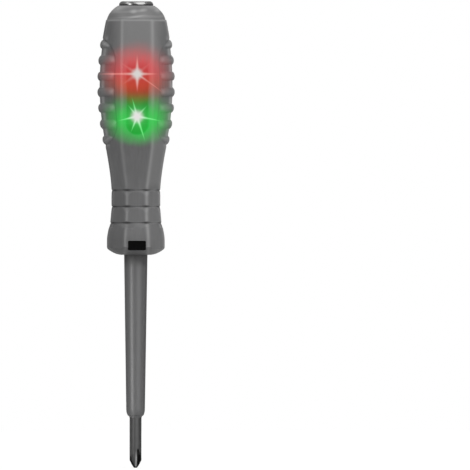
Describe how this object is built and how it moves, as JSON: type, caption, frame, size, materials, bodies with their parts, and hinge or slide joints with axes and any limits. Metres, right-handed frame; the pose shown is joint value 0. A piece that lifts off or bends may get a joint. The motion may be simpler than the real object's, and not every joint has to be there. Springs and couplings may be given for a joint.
{
  "type": "voltage tester screwdriver",
  "caption": "Voltage tester screwdriver with a Phillips blade, insulating sleeve, ribbed smoky handle with two lamps inside, and a metal touch cap that unscrews.",
  "frame": {"origin": "the tip of the blade, on the tool's axis", "axes": "+Z runs from the tip up through the handle to the touch cap, -Y is the front with the black lock window, and the ribbed panels face +X and -X"},
  "size_m": [0.0238, 0.0228, 0.1446],
  "materials": {
    "smoky_plastic": "translucent smoky moulded plastic, satin",
    "nickel_plate": "bright nickel plate",
    "spring_steel": "plated spring wire",
    "cell_steel": "nickelled can",
    "liner_film": "thin film",
    "brass": "stamped",
    "board": "solder mask on glass fibre",
    "red_lamp": "clear tinted resin, lit",
    "green_lamp": "clear tinted resin, lit",
    "resistor_tan": "lacquer",
    "resistor_blue": "lacquer",
    "transistor_black": "moulded epoxy",
    "blade_steel": "hardened, dark satin",
    "sleeve_grey": "glossy grey insulation",
    "lock_black": "satin black"
  },
  "bodies": {
    "handle_assembly": {"handle": "smoky_plastic", "blade": "blade_steel", "insulating_sleeve": "sleeve_grey", "shank_lock": "lock_black", "button_cell_1": "cell_steel", "button_cell_2": "cell_steel", "button_cell_3": "cell_steel", "cell_liner": "liner_film", "battery_contact": "brass", "return_strip": "brass", "circuit_board": "board", "red_led": "red_lamp", "green_led": "green_lamp", "series_resistor": "resistor_tan", "bias_resistor": "resistor_blue", "transistor_1": "transistor_black", "transistor_2": "transistor_black", "blade_contact": "brass", "blade_spring": "spring_steel"},
    "cap_lifter": {"cap_spring": "spring_steel"},
    "cap": {"touch_cap": "nickel_plate"}
  },
  "joints": [
    {"name": "cap_lift", "type": "slide", "parent": "handle_assembly", "child": "cap_lifter", "axis": [0, 0, 1], "range_m": [0, 0.005]},
    {"name": "cap_turn", "type": "hinge", "parent": "cap_lifter", "child": "cap", "pos_m": [0, 0, 0.1432], "axis": [0, 0, 1], "range_deg": [0, 1800]}
  ],
  "couplings": [
    {"joint": "cap_turn", "follows": "cap_lift", "rad_per_m": 6283.2}
  ]
}
